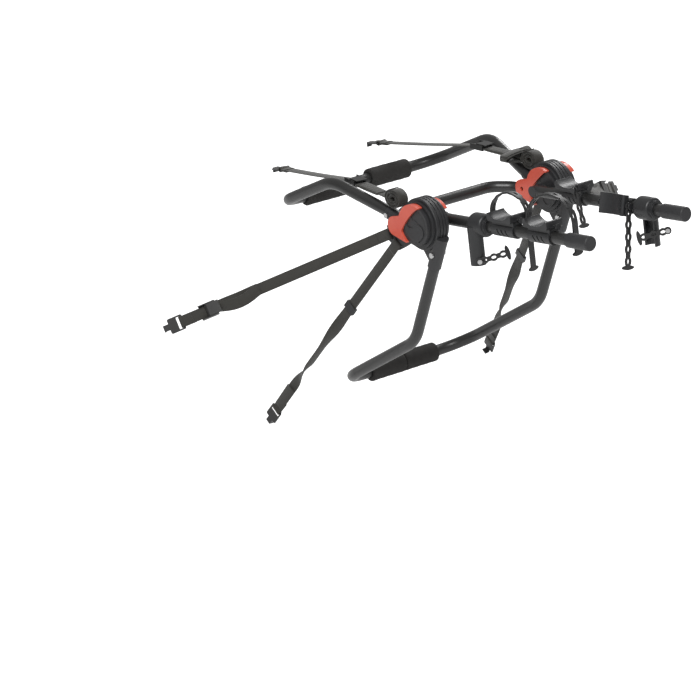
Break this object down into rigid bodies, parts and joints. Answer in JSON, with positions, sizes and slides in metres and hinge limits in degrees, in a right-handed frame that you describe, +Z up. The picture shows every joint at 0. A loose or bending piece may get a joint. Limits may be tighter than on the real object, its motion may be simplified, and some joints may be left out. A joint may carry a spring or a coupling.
{
  "type": "trunk mounted bike rack",
  "caption": "Folding rear carrier: padded upper and lower tube frames on locking hubs, with carrying arms, strap cradles and hooked webbing.",
  "frame": {"origin": "middle of the lower cross tube, on its axis", "axes": "+X to the car's right side, +Y forwards over the trunk lid, +Z up; the carrying arms point back along -Y"},
  "size_m": [1.3107, 1.0627, 0.7012],
  "materials": {
    "tube_paint": "satin powder coat",
    "hub_plastic": "moulded, fine grain",
    "cradle_plastic": "moulded, satin",
    "lever_plastic": "satin moulded red",
    "ladder_rubber": "matte moulded rubber",
    "foam": "closed cell foam, matte",
    "webbing": "woven webbing, olive black",
    "buckle_metal": "satin black",
    "bolt_steel": "zinc plated"
  },
  "bodies": {
    "lower_unit": {"lower_frame": "tube_paint", "hub_bodies": "hub_plastic", "lower_foam_sleeves": "foam", "lower_leg_bolts": "bolt_steel", "axle_bolts": "bolt_steel", "axle_nuts": "bolt_steel", "lock_discs": "bolt_steel", "spring_rings": "bolt_steel", "outer_caps": "hub_plastic"},
    "upper_unit": {"upper_frame": "tube_paint", "upper_hub_plates": "hub_plastic", "upper_leg_bolts": "bolt_steel", "upper_foam_sleeves": "foam", "webbing_rolls": "webbing", "upper_rear_straps": "webbing", "strap_sleeves": "webbing", "upper_straps": "webbing", "side_straps": "webbing", "lower_straps": "webbing", "lower_keepers": "cradle_plastic", "strap_hooks": "buckle_metal", "buckle_frames": "buckle_metal"},
    "arm_unit": {"crossbar": "tube_paint", "arm_plates": "hub_plastic", "inner_caps": "hub_plastic", "arm_roots": "hub_plastic", "left_arm": "tube_paint", "right_arm": "tube_paint", "arm_end_caps": "hub_plastic"},
    "left_outer_lever": {"left_outer_lever": "lever_plastic"},
    "right_outer_lever": {"right_outer_lever": "lever_plastic"},
    "left_inner_lever": {"left_inner_lever": "lever_plastic"},
    "right_inner_lever": {"right_inner_lever": "lever_plastic"},
    "left_plain_cradle": {"left_plain_clamp": "cradle_plastic", "left_plain_saddle": "cradle_plastic", "left_plain_strap": "ladder_rubber"},
    "left_sway_cradle": {"left_sway_clamp": "cradle_plastic", "left_sway_saddle": "cradle_plastic", "left_sway_strap": "ladder_rubber"},
    "right_plain_cradle": {"right_plain_clamp": "cradle_plastic", "right_plain_saddle": "cradle_plastic", "right_plain_strap": "ladder_rubber"},
    "right_sway_cradle": {"right_sway_clamp": "cradle_plastic", "right_sway_saddle": "cradle_plastic", "right_sway_strap": "ladder_rubber"},
    "left_stirrup": {"left_stirrup": "cradle_plastic", "left_stirrup_strap": "ladder_rubber", "left_stirrup_screw": "bolt_steel"},
    "right_stirrup": {"right_stirrup": "cradle_plastic", "right_stirrup_strap": "ladder_rubber", "right_stirrup_screw": "bolt_steel"},
    "left_upper_cam": {"left_upper_cam": "buckle_metal"},
    "left_side_cam": {"left_side_cam": "buckle_metal"},
    "right_upper_cam": {"right_upper_cam": "buckle_metal"},
    "right_side_cam": {"right_side_cam": "buckle_metal"}
  },
  "joints": [
    {"name": "upper_fold", "type": "hinge", "parent": "lower_unit", "child": "upper_unit", "pos_m": [0, -0.306, 0.466], "axis": [1, 0, 0], "range_deg": [-45, 60]},
    {"name": "arm_fold", "type": "hinge", "parent": "lower_unit", "child": "arm_unit", "pos_m": [0, -0.306, 0.466], "axis": [1, 0, 0], "range_deg": [0, 100]},
    {"name": "left_outer_release", "type": "hinge", "parent": "lower_unit", "child": "left_outer_lever", "pos_m": [-0.2115, -0.306, 0.466], "axis": [1, 0, 0], "range_deg": [0, 18], "stiffness_Nm_per_rad": 1, "springref_deg": -11.46},
    {"name": "left_inner_release", "type": "hinge", "parent": "arm_unit", "child": "left_inner_lever", "pos_m": [-0.147, -0.306, 0.466], "axis": [1, 0, 0], "range_deg": [0, 18], "stiffness_Nm_per_rad": 1, "springref_deg": -11.46},
    {"name": "right_outer_release", "type": "hinge", "parent": "lower_unit", "child": "right_outer_lever", "pos_m": [0.2115, -0.306, 0.466], "axis": [1, 0, 0], "range_deg": [0, 18], "stiffness_Nm_per_rad": 1, "springref_deg": -11.46},
    {"name": "right_inner_release", "type": "hinge", "parent": "arm_unit", "child": "right_inner_lever", "pos_m": [0.147, -0.306, 0.466], "axis": [1, 0, 0], "range_deg": [0, 18], "stiffness_Nm_per_rad": 1, "springref_deg": -11.46},
    {"name": "left_plain_tilt", "type": "hinge", "parent": "arm_unit", "child": "left_plain_cradle", "pos_m": [-0.1315, -0.63143, 0.51987], "axis": [0, -0.9866, 0.1633], "range_deg": [-25, 25]},
    {"name": "left_sway_tilt", "type": "hinge", "parent": "arm_unit", "child": "left_sway_cradle", "pos_m": [-0.1315, -0.51823, 0.50113], "axis": [0, -0.9866, 0.1633], "range_deg": [-25, 25]},
    {"name": "right_plain_tilt", "type": "hinge", "parent": "arm_unit", "child": "right_plain_cradle", "pos_m": [0.1315, -0.43388, 0.48717], "axis": [0, -0.9866, 0.1633], "range_deg": [-25, 25]},
    {"name": "right_sway_tilt", "type": "hinge", "parent": "arm_unit", "child": "right_sway_cradle", "pos_m": [0.1315, -0.58542, 0.51226], "axis": [0, -0.9866, 0.1633], "range_deg": [-25, 25]},
    {"name": "left_stirrup_turn", "type": "hinge", "parent": "arm_unit", "child": "left_stirrup", "pos_m": [-0.1315, -0.43402, 0.48719], "axis": [0, -0.9866, 0.1633], "range_deg": [-40, 40]},
    {"name": "right_stirrup_turn", "type": "hinge", "parent": "arm_unit", "child": "right_stirrup", "pos_m": [0.1315, -0.65909, 0.52445], "axis": [0, -0.9866, 0.1633], "range_deg": [-40, 40]},
    {"name": "left_upper_cam_lift", "type": "hinge", "parent": "upper_unit", "child": "left_upper_cam", "pos_m": [-0.17788, -0.06657, 0.49915], "axis": [-0.9951, 0.0986, -0.005], "range_deg": [0, 60], "stiffness_Nm_per_rad": 0.3, "springref_deg": -11.46},
    {"name": "left_side_cam_lift", "type": "hinge", "parent": "upper_unit", "child": "left_side_cam", "pos_m": [-0.5389, -0.01048, 0.26968], "axis": [0, -0.5973, -0.802], "range_deg": [0, 60], "stiffness_Nm_per_rad": 0.3, "springref_deg": -11.46},
    {"name": "right_upper_cam_lift", "type": "hinge", "parent": "upper_unit", "child": "right_upper_cam", "pos_m": [0.17788, -0.06657, 0.49915], "axis": [-0.9951, -0.0986, 0.005], "range_deg": [0, 60], "stiffness_Nm_per_rad": 0.3, "springref_deg": -11.46},
    {"name": "right_side_cam_lift", "type": "hinge", "parent": "upper_unit", "child": "right_side_cam", "pos_m": [0.60609, -0.00784, 0.27984], "axis": [0, 0.5658, 0.8245], "range_deg": [0, 60], "stiffness_Nm_per_rad": 0.3, "springref_deg": -11.46}
  ]
}
